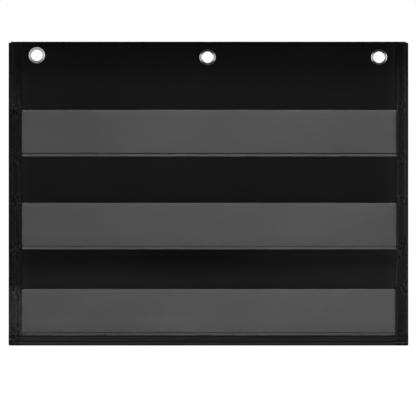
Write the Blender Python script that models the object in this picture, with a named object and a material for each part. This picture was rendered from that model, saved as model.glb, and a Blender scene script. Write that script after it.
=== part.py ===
# A hanging pocket chart: a black cloth panel with three clear film pockets,
# folded tape round three edges, and three metal grommets in the doubled header.
# Metres, +Z up. The front faces -Y and the wall is on the +Y side.
# The origin is the centre of the middle grommet's bore, where the chart hangs.

import math

import bmesh
import bpy
from mathutils import Vector

# Outline of the chart. Its height is the sum of the bands down its front.
CHART_WIDTH = 0.4318
HEADER_HEIGHT = 0.0736  # top edge to the mouth of the top pocket
POCKET_HEIGHT = 0.0503  # mouth to the cut lower edge of a film
UPPER_BAND_HEIGHT = 0.0501  # bare cloth between the top and middle pockets
LOWER_BAND_HEIGHT = 0.0427  # bare cloth between the middle and bottom pockets
LEFT_BINDING_WIDTH = 0.0144
RIGHT_BINDING_WIDTH = 0.0130
RIGHT_BINDING_LOW_WIDTH = 0.0142  # the tape was sewn wider beside the bottom pocket
BOTTOM_BINDING_WIDTH = 0.0110

# Sheet materials, and the clearance left between pieces that are sewn or pressed together.
CLOTH_THICKNESS = 0.0007
FILM_THICKNESS = 0.0003
TAPE_THICKNESS = 0.0003
SEAM_GAP = 0.0003
HEM_GAP = 0.0003  # between the two layers of the folded header
TURN_GAP = 0.00015  # inside the turned edge of the tape

# The folded tape. The side tapes are sewn on first, and the bottom tape laps over their ends.
TURNED_SHARE = 0.45  # of the tape's width, where its raw edge is turned under
TAPE_END_DROP = 0.0011  # the side tapes stop this far below the folded top edge
CORNER_CUT = 0.0009  # how far the bottom corners fall short of sharp ones
CORNER_LENGTH = 0.0015
STEP_LENGTH = 0.0035  # run of the slope where the tape climbs over an edge
STEP_CLEARANCE = 0.0006  # from that edge to the start of the slope
LAP_PRESS = 0.00005  # each leg of a side tape is pressed in this much under the lap
EDGE_CLEARANCE = 0.0005  # from the round of the fold to a cut edge inside it
FILM_SETBACK = 0.0012  # the films are cut this much narrower than the cloth at each side

# Pockets. The film is sewn flat along its foot and both ends, and its mouth stands open.
POCKET_STITCH_RISE = 0.0032  # cut lower edge to the seam
FOOT_TUCK = 0.0020  # the bottom film runs this far under the bottom tape
MOUTH_BELLY = 0.0070  # how far the middle of the mouth stands off the cloth
FLAT_END = 0.0020  # film that stays flat next to the tape
FOOT_BEND_SHARE = 0.12  # of the pocket's height, where the film bends off the seam

# Grommets, in two parts: a flanged eyelet set from the front and a washer behind.
GROMMET_DROP = 0.0168  # top edge to the centre of the middle and right grommets
LEFT_GROMMET_DROP = 0.0147
LEFT_GROMMET_INSET = 0.0305  # from the left edge of the chart
RIGHT_GROMMET_INSET = 0.0316  # from the right edge of the chart
MIDDLE_GROMMET_SHIFT = -0.0010  # from the centre line of the chart
BORE_RADIUS = 0.0062
FLANGE_RADIUS = 0.0089
METAL_THICKNESS = 0.0004
FLANGE_HEIGHT = 0.0012  # crown of the flange above its rim
FLANGE_CROWN_SHARE = 0.52  # of the way from the barrel to the rim
ROLL_RADIUS = 0.0005  # middle of the metal in the rolled end
WASHER_RADIUS = 0.0087
WASHER_THICKNESS = 0.0005
WASHER_RIM_THICKNESS = 0.0003
WASHER_CREST_SHARE = 0.45  # of the way from the bore to the rim
HEM_MARGIN = 0.0066  # cloth of the hem below the lowest washer

# How finely round and bent shapes are divided.
GROMMET_SEGMENTS = 28
FLANGE_STEPS = 3
ROLL_STEPS = 4
WASHER_STEPS = 3
TURN_STEPS = 3
EDGE_FOLD_STEPS = 6
HEM_FOLD_STEPS = 8
FILM_COLUMNS = 26
FILM_ROWS = 6
SMOOTH_ANGLE = math.radians(38)

# Cutters reach this far past the cloth.
CUT_OVERRUN = 0.002

# Heights, measured down from the top edge of the chart.
TOP_MOUTH_DROP = HEADER_HEIGHT
MIDDLE_MOUTH_DROP = TOP_MOUTH_DROP + POCKET_HEIGHT + UPPER_BAND_HEIGHT
BOTTOM_MOUTH_DROP = MIDDLE_MOUTH_DROP + POCKET_HEIGHT + LOWER_BAND_HEIGHT
CHART_HEIGHT = BOTTOM_MOUTH_DROP + POCKET_HEIGHT + BOTTOM_BINDING_WIDTH
HEM_DEPTH = max(GROMMET_DROP, LEFT_GROMMET_DROP) + WASHER_RADIUS + HEM_MARGIN

# Edges of the chart in the part's own frame.
TOP_Z = GROMMET_DROP
BOTTOM_Z = TOP_Z - CHART_HEIGHT
LEFT_X = -CHART_WIDTH / 2 - MIDDLE_GROMMET_SHIFT
RIGHT_X = LEFT_X + CHART_WIDTH

# Layers from front to rear, with y = 0 in the middle of the doubled header.
HEM_FRONT_Y = HEM_GAP / 2
HEM_REAR_Y = HEM_FRONT_Y + CLOTH_THICKNESS
CLOTH_REAR_Y = -HEM_GAP / 2
CLOTH_FRONT_Y = CLOTH_REAR_Y - CLOTH_THICKNESS
FILM_FRONT_Y = CLOTH_FRONT_Y - SEAM_GAP - FILM_THICKNESS

# Faces of the folded tape, where it lies on bare cloth and where it covers more layers.
TURN_RADIUS = (TAPE_THICKNESS + TURN_GAP) / 2
TAPE_LEG = 2 * TAPE_THICKNESS + TURN_GAP
TAPE_ON_CLOTH_Y = CLOTH_FRONT_Y - SEAM_GAP - TAPE_LEG
TAPE_ON_FILM_Y = FILM_FRONT_Y - SEAM_GAP - TAPE_LEG
TAPE_BEHIND_CLOTH_Y = CLOTH_REAR_Y + SEAM_GAP + TAPE_LEG
TAPE_BEHIND_HEM_Y = HEM_REAR_Y + SEAM_GAP + TAPE_LEG
LAP_FRONT_Y = TAPE_ON_FILM_Y - SEAM_GAP - TAPE_LEG
LAP_REAR_Y = TAPE_BEHIND_CLOTH_Y + SEAM_GAP + TAPE_LEG

# Cut edges keep clear of the round of the fold that they lie in.
FILM_FOLD_RADIUS = (TAPE_BEHIND_CLOTH_Y - TAPE_ON_FILM_Y) / 2
HEM_FOLD_RADIUS = (TAPE_BEHIND_HEM_Y - TAPE_ON_CLOTH_Y) / 2
LAP_FOLD_RADIUS = (LAP_REAR_Y - LAP_FRONT_Y) / 2
CLOTH_INSET = max(FILM_FOLD_RADIUS, HEM_FOLD_RADIUS) + EDGE_CLEARANCE
FILM_INSET = CLOTH_INSET + FILM_SETBACK
FOOT_INSET = LAP_FOLD_RADIUS + EDGE_CLEARANCE

# Radii and places of the grommets.
BARREL_RADIUS = BORE_RADIUS + METAL_THICKNESS
BARREL_MIDDLE = BORE_RADIUS + METAL_THICKNESS / 2
HOLE_RADIUS = BARREL_RADIUS + SEAM_GAP
GROMMET_PLACES = {
    "left": (LEFT_X + LEFT_GROMMET_INSET, TOP_Z - LEFT_GROMMET_DROP),
    "middle": (0, 0),
    "right": (RIGHT_X - RIGHT_GROMMET_INSET, TOP_Z - GROMMET_DROP),
}


def clear_scene():
    for old in list(bpy.data.objects):
        bpy.data.objects.remove(old, do_unlink=True)


def make_material(name, colour, roughness, metallic=0.0, alpha=1.0):
    material = bpy.data.materials.new(name)
    material.use_nodes = True
    shader = material.node_tree.nodes["Principled BSDF"]
    shader.inputs["Base Color"].default_value = (*colour, 1.0)
    shader.inputs["Roughness"].default_value = roughness
    shader.inputs["Metallic"].default_value = metallic
    shader.inputs["Alpha"].default_value = alpha
    return material


def arc(centre, radii, start, end, steps):
    """Points of an elliptical arc between two angles in degrees, both ends included."""
    points = []
    for step in range(steps + 1):
        angle = math.radians(start + (end - start) * step / steps)
        offset = Vector((radii[0] * math.cos(angle), radii[1] * math.sin(angle)))
        points.append(Vector(centre) + offset)
    return points


def strip_outline(path, thickness):
    """The closed outline of a strip of sheet that follows an open path."""
    runs = [(after - before).normalized() for before, after in zip(path, path[1:])]
    near_side = []
    far_side = []
    for index, point in enumerate(path):
        arriving = runs[max(index - 1, 0)]
        leaving = runs[min(index, len(runs) - 1)]
        heading = (arriving + leaving).normalized()
        reach = thickness / 2 / heading.dot(leaving)
        across = heading.orthogonal() * reach
        near_side.append(point + across)
        far_side.append(point - across)
    return near_side + far_side[::-1]


def add_object(name, mesh, material, place=(0, 0, 0)):
    obj = bpy.data.objects.new(name, mesh)
    bpy.context.scene.collection.objects.link(obj)
    obj.location = place
    if not mesh.materials:
        mesh.materials.append(material)
    return obj


def finish_mesh(name, bm, smooth_angle=SMOOTH_ANGLE):
    bmesh.ops.recalc_face_normals(bm, faces=bm.faces)
    mesh = bpy.data.meshes.new(name)
    bm.to_mesh(mesh)
    bm.free()
    mesh.shade_smooth()
    mesh.set_sharp_from_angle(angle=smooth_angle)
    return mesh


def loft_mesh(name, rings):
    """A closed skin over rings that have the same number of points, capped at both ends."""
    bm = bmesh.new()
    loops = [[bm.verts.new(point) for point in ring] for ring in rings]
    count = len(rings[0])
    for lower, upper in zip(loops, loops[1:]):
        for index in range(count):
            following = (index + 1) % count
            bm.faces.new((lower[index], lower[following], upper[following], upper[index]))
    bm.faces.new(loops[0])
    bm.faces.new(loops[-1])
    return finish_mesh(name, bm)


def turned_mesh(name, profile):
    """A ring of metal: a closed profile of (radius, y) points turned round the Y axis."""
    bm = bmesh.new()
    verts = [bm.verts.new((point.x, point.y, 0)) for point in profile]
    edges = [bm.edges.new(pair) for pair in zip(verts, verts[1:] + verts[:1])]
    bmesh.ops.spin(
        bm,
        geom=verts + edges,
        cent=(0, 0, 0),
        axis=(0, 1, 0),
        angle=math.tau,
        steps=GROMMET_SEGMENTS,
        use_merge=True,
    )
    return finish_mesh(name, bm)


def build_backing_panel(material):
    """One sheet of cloth, folded to the rear along its top edge and holed for the grommets."""
    middle_y = (CLOTH_FRONT_Y + CLOTH_REAR_Y) / 2
    fold_radius = (CLOTH_THICKNESS + HEM_GAP) / 2
    fold_z = TOP_Z - fold_radius - CLOTH_THICKNESS / 2
    path = [Vector((middle_y, BOTTOM_Z + FOOT_INSET))]
    path += arc((0, fold_z), (fold_radius, fold_radius), 180, 0, HEM_FOLD_STEPS)
    path.append(Vector((-middle_y, TOP_Z - HEM_DEPTH)))
    outline = strip_outline(path, CLOTH_THICKNESS)
    ends = (LEFT_X + CLOTH_INSET, RIGHT_X - CLOTH_INSET)
    rings = [[(x, point.x, point.y) for point in outline] for x in ends]
    panel = add_object("backing_panel", loft_mesh("backing_panel", rings), material)
    for side, (x, z) in GROMMET_PLACES.items():
        cutter = build_hole_cutter(side, x, z)
        cut = panel.modifiers.new("grommet_hole_" + side, "BOOLEAN")
        cut.operation = "DIFFERENCE"
        cut.object = cutter
    return panel


def build_hole_cutter(side, x, z):
    depth = HEM_REAR_Y - CLOTH_FRONT_Y + 2 * CUT_OVERRUN
    bm = bmesh.new()
    bmesh.ops.create_cone(
        bm,
        cap_ends=True,
        segments=GROMMET_SEGMENTS,
        radius1=HOLE_RADIUS,
        radius2=HOLE_RADIUS,
        depth=depth,
    )
    mesh = bpy.data.meshes.new("hole_cutter_" + side)
    bm.to_mesh(mesh)
    bm.free()
    cutter = bpy.data.objects.new("hole_cutter_" + side, mesh)
    bpy.context.scene.collection.objects.link(cutter)
    cutter.location = (x, 0, z)
    cutter.rotation_euler = (math.pi / 2, 0, 0)
    cutter.hide_render = True
    cutter.display_type = "WIRE"
    return cutter


def tape_section(width, front_y, rear_y):
    """Outline of the folded tape as (inward, y) points, with both raw edges turned under."""
    half = TAPE_THICKNESS / 2
    front = front_y + half
    rear = rear_y - half
    turn_at = width - half - TURN_RADIUS
    fold_radius = (rear - front) / 2
    turned_end = width - width * TURNED_SHARE
    turn = (TURN_RADIUS, TURN_RADIUS)
    path = [Vector((turned_end, front + 2 * TURN_RADIUS))]
    path += arc((turn_at, front + TURN_RADIUS), turn, 90, -90, TURN_STEPS)
    fold_centre = (half + fold_radius, (front + rear) / 2)
    path += arc(fold_centre, (fold_radius, fold_radius), -90, -270, EDGE_FOLD_STEPS)
    path += arc((turn_at, rear - TURN_RADIUS), turn, 90, -90, TURN_STEPS)
    path.append(Vector((turned_end, rear - 2 * TURN_RADIUS)))
    return strip_outline(path, TAPE_THICKNESS)


def side_tape_stations(width, low_width):
    """(z, width, front face, rear face) up a side, where the tape climbs over each edge."""
    low, high = TAPE_ON_CLOTH_Y, TAPE_ON_FILM_Y
    rear, hem_rear = TAPE_BEHIND_CLOTH_Y, TAPE_BEHIND_HEM_Y
    slope = STEP_CLEARANCE + STEP_LENGTH
    lap_edge = BOTTOM_Z + BOTTOM_BINDING_WIDTH
    bottom_mouth = TOP_Z - BOTTOM_MOUTH_DROP
    middle_mouth = TOP_Z - MIDDLE_MOUTH_DROP
    middle_foot = middle_mouth - POCKET_HEIGHT
    top_mouth = TOP_Z - TOP_MOUTH_DROP
    top_foot = top_mouth - POCKET_HEIGHT
    hem_edge = TOP_Z - HEM_DEPTH
    return [
        (BOTTOM_Z + FOOT_INSET, low_width, high + LAP_PRESS, rear - LAP_PRESS),
        (lap_edge + STEP_CLEARANCE, low_width, high + LAP_PRESS, rear - LAP_PRESS),
        (lap_edge + slope, low_width, high, rear),
        (bottom_mouth + STEP_CLEARANCE, low_width, high, rear),
        (bottom_mouth + slope, low_width, low, rear),
        (middle_foot - slope, width, low, rear),
        (middle_foot - STEP_CLEARANCE, width, high, rear),
        (middle_mouth + STEP_CLEARANCE, width, high, rear),
        (middle_mouth + slope, width, low, rear),
        (top_foot - slope, width, low, rear),
        (top_foot - STEP_CLEARANCE, width, high, rear),
        (top_mouth + STEP_CLEARANCE, width, high, rear),
        (top_mouth + slope, width, low, rear),
        (hem_edge - slope, width, low, rear),
        (hem_edge - STEP_CLEARANCE, width, low, hem_rear),
        (TOP_Z - TAPE_END_DROP, width, low, hem_rear),
    ]


def build_side_binding(name, edge_x, inward, width, low_width, material):
    """Folded tape up one side, from inside the bottom tape to just below the top edge."""
    rings = []
    for z, tape_width, front_y, rear_y in side_tape_stations(width, low_width):
        section = tape_section(tape_width, front_y, rear_y)
        rings.append([(edge_x + inward * point.x, point.y, z) for point in section])
    return add_object(name, loft_mesh(name, rings), material)


def lapped_end(edge_x, inward, side_width):
    """The rings at one end of the bottom tape, where it laps over a side tape."""
    lapped = tape_section(BOTTOM_BINDING_WIDTH, LAP_FRONT_Y, LAP_REAR_Y)
    plain = tape_section(BOTTOM_BINDING_WIDTH, TAPE_ON_FILM_Y, TAPE_BEHIND_CLOTH_Y)
    pinch = (BOTTOM_BINDING_WIDTH - CORNER_CUT) / BOTTOM_BINDING_WIDTH
    over_side = side_width + STEP_CLEARANCE
    end_ring = [(edge_x, point.y, BOTTOM_Z + CORNER_CUT + point.x * pinch) for point in lapped]
    rings = [end_ring]
    for section, reach in (
        (lapped, CORNER_LENGTH),
        (lapped, over_side),
        (plain, over_side + STEP_LENGTH),
    ):
        x = edge_x + inward * reach
        rings.append([(x, point.y, BOTTOM_Z + point.x) for point in section])
    return rings


def build_bottom_binding(material):
    """Folded tape along the foot, lapped over the side tapes at both ends."""
    left_rings = lapped_end(LEFT_X, 1, LEFT_BINDING_WIDTH)
    right_rings = lapped_end(RIGHT_X, -1, RIGHT_BINDING_LOW_WIDTH)
    mesh = loft_mesh("bottom_binding", left_rings + right_rings[::-1])
    return add_object("bottom_binding", mesh, material)


def film_stand_off(along, up):
    """How far the film stands off its flat place, at shares of its width and height."""
    across = (1 - along**4) ** 2
    bend = FOOT_BEND_SHARE
    lift = (math.hypot(up, bend) - bend) / (math.hypot(1, bend) - bend)
    return MOUTH_BELLY * across * lift


def build_pocket_film(name, mouth_drop, right_width, tuck, material):
    """Clear film sewn at the foot and both ends, with its mouth standing open."""
    foot_z = TOP_Z - mouth_drop - POCKET_HEIGHT
    seam_height = POCKET_HEIGHT - POCKET_STITCH_RISE
    free_left = LEFT_X + LEFT_BINDING_WIDTH + FLAT_END
    free_right = RIGHT_X - right_width - FLAT_END
    centre = (free_left + free_right) / 2
    half_span = (free_right - free_left) / 2
    place = Vector((centre, FILM_FRONT_Y, foot_z + POCKET_STITCH_RISE))

    columns = [(LEFT_X + FILM_INSET - centre, 1)]
    for column in range(FILM_COLUMNS + 1):
        along = 2 * column / FILM_COLUMNS - 1
        columns.append((half_span * along, along))
    columns.append((RIGHT_X - FILM_INSET - centre, 1))
    rows = [(-POCKET_STITCH_RISE - tuck, 0)]
    rows += [(seam_height * row / FILM_ROWS, row / FILM_ROWS) for row in range(FILM_ROWS + 1)]

    bm = bmesh.new()
    grid = []
    for z, up in rows:
        line = [bm.verts.new((x, -film_stand_off(along, up), z)) for x, along in columns]
        grid.append(line)
    for lower, upper in zip(grid, grid[1:]):
        for index in range(len(columns) - 1):
            bm.faces.new((lower[index], lower[index + 1], upper[index + 1], upper[index]))
    mesh = bpy.data.meshes.new(name)
    bm.to_mesh(mesh)
    bm.free()
    mesh.shade_smooth()
    film = add_object(name, mesh, material, place)
    wall = film.modifiers.new("film_thickness", "SOLIDIFY")
    wall.thickness = FILM_THICKNESS
    wall.offset = -1
    return film


def eyelet_profile():
    """Sheet metal from the rim over the domed flange, down the barrel and into the roll."""
    half = METAL_THICKNESS / 2
    rim_radius = FLANGE_RADIUS - half
    crown_radius = BARREL_MIDDLE + (rim_radius - BARREL_MIDDLE) * FLANGE_CROWN_SHARE
    rim_y = CLOTH_FRONT_Y - SEAM_GAP
    dome = FLANGE_HEIGHT - half
    outer = (rim_radius - crown_radius, dome)
    inner = (crown_radius - BARREL_MIDDLE, dome)
    path = arc((crown_radius, rim_y), outer, 0, -90, FLANGE_STEPS)
    path += arc((crown_radius, rim_y), inner, -90, -180, FLANGE_STEPS)[1:]
    roll_y = HEM_REAR_Y + SEAM_GAP + WASHER_THICKNESS + SEAM_GAP
    roll_centre = (BARREL_MIDDLE + ROLL_RADIUS, roll_y)
    path += arc(roll_centre, (ROLL_RADIUS, ROLL_RADIUS), 180, 0, ROLL_STEPS)
    return strip_outline(path, METAL_THICKNESS)


def washer_profile():
    """A flat-backed ring, domed a little towards the rear."""
    seat_y = HEM_REAR_Y + SEAM_GAP
    rim_y = seat_y + WASHER_RIM_THICKNESS
    crest = HOLE_RADIUS + (WASHER_RADIUS - HOLE_RADIUS) * WASHER_CREST_SHARE
    dome = WASHER_THICKNESS - WASHER_RIM_THICKNESS
    profile = [Vector((HOLE_RADIUS, seat_y)), Vector((WASHER_RADIUS, seat_y))]
    profile += arc((crest, rim_y), (WASHER_RADIUS - crest, dome), 0, 90, WASHER_STEPS)
    profile += arc((crest, rim_y), (crest - HOLE_RADIUS, dome), 90, 180, WASHER_STEPS)[1:]
    return profile


def build_grommets(material):
    eyelet_mesh = turned_mesh("grommet", eyelet_profile())
    washer_mesh = turned_mesh("grommet_washer", washer_profile())
    pieces = []
    for side, (x, z) in GROMMET_PLACES.items():
        place = (x, 0, z)
        pieces.append(add_object("grommet_" + side, eyelet_mesh, material, place))
        pieces.append(add_object("grommet_washer_" + side, washer_mesh, material, place))
    return pieces


def build_chart():
    clear_scene()
    cloth = make_material("black_cloth", (0.009, 0.009, 0.010), 0.82)
    tape = make_material("black_tape", (0.016, 0.015, 0.017), 0.70)
    film = make_material("clear_film", (0.32, 0.32, 0.33), 0.38, alpha=0.45)
    nickel = make_material("nickel_plate", (0.72, 0.71, 0.69), 0.22, metallic=1.0)

    pieces = [build_backing_panel(cloth)]
    wide, narrow = RIGHT_BINDING_LOW_WIDTH, RIGHT_BINDING_WIDTH
    films = (
        ("pocket_film_top", TOP_MOUTH_DROP, narrow, 0),
        ("pocket_film_middle", MIDDLE_MOUTH_DROP, narrow, 0),
        ("pocket_film_bottom", BOTTOM_MOUTH_DROP, wide, FOOT_TUCK),
    )
    for name, mouth_drop, right_width, tuck in films:
        pieces.append(build_pocket_film(name, mouth_drop, right_width, tuck, film))
    left = LEFT_BINDING_WIDTH
    pieces.append(build_side_binding("side_binding_left", LEFT_X, 1, left, left, tape))
    pieces.append(build_side_binding("side_binding_right", RIGHT_X, -1, narrow, wide, tape))
    pieces.append(build_bottom_binding(tape))
    pieces += build_grommets(nickel)

    hanger = bpy.data.objects.new("pocket_chart", None)
    bpy.context.scene.collection.objects.link(hanger)
    for piece in pieces:
        piece.parent = hanger


build_chart()
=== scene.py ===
# A hanging pocket chart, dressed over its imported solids.
# Metres, +Z up. The front faces -Y, and the middle grommet's bore is the origin.
import itertools
import math

import bmesh
import bpy
import numpy as np
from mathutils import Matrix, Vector, noise


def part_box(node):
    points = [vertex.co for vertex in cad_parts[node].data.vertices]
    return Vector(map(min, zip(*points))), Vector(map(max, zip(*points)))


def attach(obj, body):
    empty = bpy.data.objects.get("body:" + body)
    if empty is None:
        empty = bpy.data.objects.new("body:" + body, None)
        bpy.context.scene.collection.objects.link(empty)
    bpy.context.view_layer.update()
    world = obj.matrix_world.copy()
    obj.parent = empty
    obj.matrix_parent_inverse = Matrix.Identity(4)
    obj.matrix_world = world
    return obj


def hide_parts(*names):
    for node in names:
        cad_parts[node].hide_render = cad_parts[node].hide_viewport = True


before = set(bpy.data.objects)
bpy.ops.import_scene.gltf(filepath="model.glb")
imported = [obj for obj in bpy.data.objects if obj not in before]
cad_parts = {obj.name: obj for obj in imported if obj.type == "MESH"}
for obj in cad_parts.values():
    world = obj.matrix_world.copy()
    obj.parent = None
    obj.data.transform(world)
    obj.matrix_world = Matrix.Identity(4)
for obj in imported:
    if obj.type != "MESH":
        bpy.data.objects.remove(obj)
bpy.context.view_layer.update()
print("frame loaded:", len(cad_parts), "nodes")


# shared small tools

def smooth(share):
    share = min(max(share, 0.0), 1.0)
    return share * share * (3 - 2 * share)


def bump(distance, reach):  # 1 on the spot, fading out over the reach
    return math.exp(-((distance / reach) ** 2))


def spaced(start, end, step):  # evenly spaced values, both ends included
    count = max(1, round(abs(end - start) / step))
    return [start + (end - start) * index / count for index in range(count + 1)]


def arc(centre, radii, start, end, steps):
    (x, y), (wide, high) = centre, radii
    turns = np.radians(np.linspace(start, end, steps + 1))
    return [Vector((x + wide * math.cos(turn), y + high * math.sin(turn))) for turn in turns]


def lengthsAlong(path):
    lengths = [0.0]
    for before, after in zip(path, path[1:]):
        lengths.append(lengths[-1] + (after - before).length)
    return lengths


def stripOutline(path, thickness):  # both faces of a sheet that follows an open path
    runs = [(after - before).normalized() for before, after in zip(path, path[1:])]
    near, far = [], []
    for index, point in enumerate(path):
        arriving = runs[max(index - 1, 0)]
        leaving = runs[min(index, len(runs) - 1)]
        heading = (arriving + leaving).normalized()
        across = heading.orthogonal() * (thickness / 2 / heading.dot(leaving))
        near.append(point + across)
        far.append(point - across)
    return near + far[::-1]


def outlineLengths(path, start=0.0):  # the UV height of each point of a strip's outline
    lengths = [length - start for length in lengthsAlong(path)]
    return lengths + lengths[::-1] + lengths[:1]


def newMesh(name, points, edges=(), faces=()):
    mesh = bpy.data.meshes.new(name)
    mesh.from_pydata(points, edges, faces)
    return mesh


def faceOutwards(mesh):
    shell = bmesh.new()
    shell.from_mesh(mesh)
    bmesh.ops.recalc_face_normals(shell, faces=shell.faces)
    shell.to_mesh(mesh)
    shell.free()


def skinMesh(name, rings, along, across):  # a closed skin over rings of points, with a UV map in metres
    count = len(rings[0])
    points = [tuple(point) for ring in rings for point in ring]
    faces, corners = [], []
    for i in range(len(rings) - 1):
        near, far = i * count, (i + 1) * count
        for j in range(count):
            k = (j + 1) % count
            faces.append((near + j, near + k, far + k, far + j))
            corners += [(along[i], across[j]), (along[i], across[j + 1])]
            corners += [(along[i + 1], across[j + 1]), (along[i + 1], across[j])]
    for station in (0, len(rings) - 1):
        faces.append(tuple(station * count + j for j in range(count)))
        corners += [(along[station], across[j]) for j in range(count)]
    mesh = newMesh(name, points, faces=faces)
    layer = mesh.uv_layers.new(name="metres")
    layer.data.foreach_set("uv", np.array(corners, dtype=np.float32).ravel())
    faceOutwards(mesh)
    return mesh


def markPoints(mesh, name, values):  # a number or a vector on each point, for a material or a tree
    vectors = np.ndim(values) > 1
    layer = mesh.attributes.new(name, "FLOAT_VECTOR" if vectors else "FLOAT", "POINT")
    layer.data.foreach_set("vector" if vectors else "value", np.array(values, dtype=np.float32).ravel())


def addObject(name, data):
    added = bpy.data.objects.new(name, data)
    bpy.context.scene.collection.objects.link(added)
    return added


def finishMesh(mesh, material, sharpAngle=None):  # threads keep the shading that their tree gives
    if sharpAngle:
        mesh.shade_smooth()
        mesh.set_sharp_from_angle(angle=math.radians(sharpAngle))
    mesh.materials.clear()
    mesh.materials.append(material)


def addPiece(name, mesh, material):
    finishMesh(mesh, material, sharpAngle=40)
    return addObject(name, mesh)


def keepShape(piece):  # what the modifiers make becomes a plain mesh
    depsgraph = bpy.context.evaluated_depsgraph_get()
    piece.data = bpy.data.meshes.new_from_object(piece.evaluated_get(depsgraph), depsgraph=depsgraph)
    piece.modifiers.clear()


def settle(piece, slotName, *nodes):
    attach(piece, "root")
    if nodes:
        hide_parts(*nodes)
    return piece


# tools for node trees

def feed(tree, node, inputs):  # links sockets and sets plain values
    for key, value in inputs.items():
        if isinstance(value, bpy.types.NodeSocket):
            tree.links.new(value, node.inputs[key])
        else:
            node.inputs[key].default_value = value
    return node


def addNode(tree, kind, inputs=None, **settings):
    node = tree.nodes.new(kind)
    for name, value in settings.items():
        setattr(node, name, value)
    return feed(tree, node, inputs or {})


def made(tree, kind, inputs=None, **settings):  # the first output of a new node
    return addNode(tree, kind, inputs, **settings).outputs[0]


def calc(tree, operation, *values):
    return made(tree, "ShaderNodeMath", dict(enumerate(values)), operation=operation)


def times(tree, *levels):
    product = levels[0]
    for level in levels[1:]:
        product = calc(tree, "MULTIPLY", product, level)
    return product


def awayFrom(tree, value, level):
    return calc(tree, "ABSOLUTE", calc(tree, "SUBTRACT", value, level))


def scaled(tree, vector, level):  # also for a colour, made lighter or darker by a level
    return made(tree, "ShaderNodeVectorMath", {0: vector, "Scale": level}, operation="SCALE")


def split(tree, vector):
    return addNode(tree, "ShaderNodeSeparateXYZ", {0: vector}).outputs


# tools for materials

def mix(tree, share, first, second):
    return made(tree, "ShaderNodeMix", {0: share, 2: first, 3: second})


def mapRange(tree, value, fromLow, fromHigh, toLow=0.0, toHigh=1.0, style="LINEAR"):
    inputs = {0: value, 1: fromLow, 2: fromHigh, 3: toLow, 4: toHigh}
    return made(tree, "ShaderNodeMapRange", inputs, interpolation_type=style)


def eased(tree, value, fromLow, fromHigh, toLow=0.0, toHigh=1.0):
    return mapRange(tree, value, fromLow, fromHigh, toLow, toHigh, "SMOOTHSTEP")


def ramp(tree, value, levels):  # grey levels by their place on the ramp
    node = addNode(tree, "ShaderNodeValToRGB", {0: value})
    elements = node.color_ramp.elements
    while len(elements) < len(levels):
        elements.new(0.5)
    for element, (place, level) in zip(elements, levels.items()):
        element.position = place
        element.color = (level, level, level, 1)
    return node.outputs["Color"]


def blotches(tree, place, scale, detail, stretch=(1, 1, 1), shift=0.0):  # uneven patches, 0 to 1
    inputs = {"Vector": place, "Scale": stretch, "Location": (shift, shift, shift)}
    inputs = {"Vector": made(tree, "ShaderNodeMapping", inputs), "Scale": scale, "Detail": detail}
    return made(tree, "ShaderNodeTexNoise", inputs)


def patchy(tree, patches, low, high):  # blotches seldom pass these two values
    return mapRange(tree, patches, 0.3, 0.7, low, high)


def relief(tree, height, depth, strength, under=None):
    inputs = {"Height": height, "Distance": depth, "Strength": strength}
    if under:
        inputs["Normal"] = under
    return made(tree, "ShaderNodeBump", inputs)


def marked(tree, name):  # a number that the mesh carries on its points
    return addNode(tree, "ShaderNodeAttribute", attribute_name=name).outputs["Fac"]


def shareAcross(tree, spot):  # of the chart, from left to right
    return mapRange(tree, spot["X"], leftX, rightX)


def shareUp(tree, spot):  # of the chart, from its lower edge to its top
    return mapRange(tree, spot["Z"], bottomZ, topZ)


def fibre(tree, place, look, colour, normal):  # what cloth, tape and thread share
    middle, spread = look["roughness"]
    fuzz = blotches(tree, place, *look["fuzz"])
    rough = mapRange(tree, fuzz, 0.2, 0.8, middle - spread, middle + spread)
    shine = look["specular"]
    return {"Base Color": colour, "Roughness": rough, "Specular IOR Level": shine, "Normal": normal}


def woven(tree, place, flat, look, colour, level, under):
    # crossing yarns: the product of two sines swaps sign from cell to cell, and the root flattens it
    lengthwise, crosswise = look["yarn"]
    first = calc(tree, "SINE", times(tree, flat["X"], math.pi / lengthwise))
    second = calc(tree, "SINE", times(tree, flat["Y"], math.pi / crosswise))
    cells = times(tree, first, second)
    height = calc(tree, "POWER", calc(tree, "ABSOLUTE", cells), 0.6)
    tone = mapRange(tree, cells, -0.4, 0.4, 1 - look["yarnTone"], 1 + look["yarnTone"])
    normal = relief(tree, height, *look["yarnRelief"], under)
    return fibre(tree, place, look, scaled(tree, colour, times(tree, level, tone)), normal)


def makeMaterial(name, recipe, *details):
    # A recipe says what goes into the shader, from places in the object's own metres and on its UV map.
    material = bpy.data.materials.new(name)
    material.use_nodes = True
    tree = material.node_tree
    source = addNode(tree, "ShaderNodeTexCoord").outputs
    feed(tree, tree.nodes["Principled BSDF"], recipe(tree, source, *details))
    return material


# tools for Geometry Nodes

def newTree(name, **inputs):  # a tree with named inputs after its geometry
    tree = bpy.data.node_groups.new(name, "GeometryNodeTree")
    face = tree.interface
    face.new_socket("Geometry", in_out="INPUT", socket_type="NodeSocketGeometry")
    for label, kind in {**inputs, "Material": "Material"}.items():
        face.new_socket(label, in_out="INPUT", socket_type="NodeSocket" + kind)
    face.new_socket("Geometry", in_out="OUTPUT", socket_type="NodeSocketGeometry")
    return tree, addNode(tree, "NodeGroupInput").outputs


def endTree(tree, geometry, source):
    real = made(tree, "GeometryNodeRealizeInstances", {"Geometry": geometry})
    inputs = {"Geometry": real, "Material": source["Material"]}
    addNode(tree, "NodeGroupOutput", {0: made(tree, "GeometryNodeSetMaterial", inputs)})
    return tree


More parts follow.
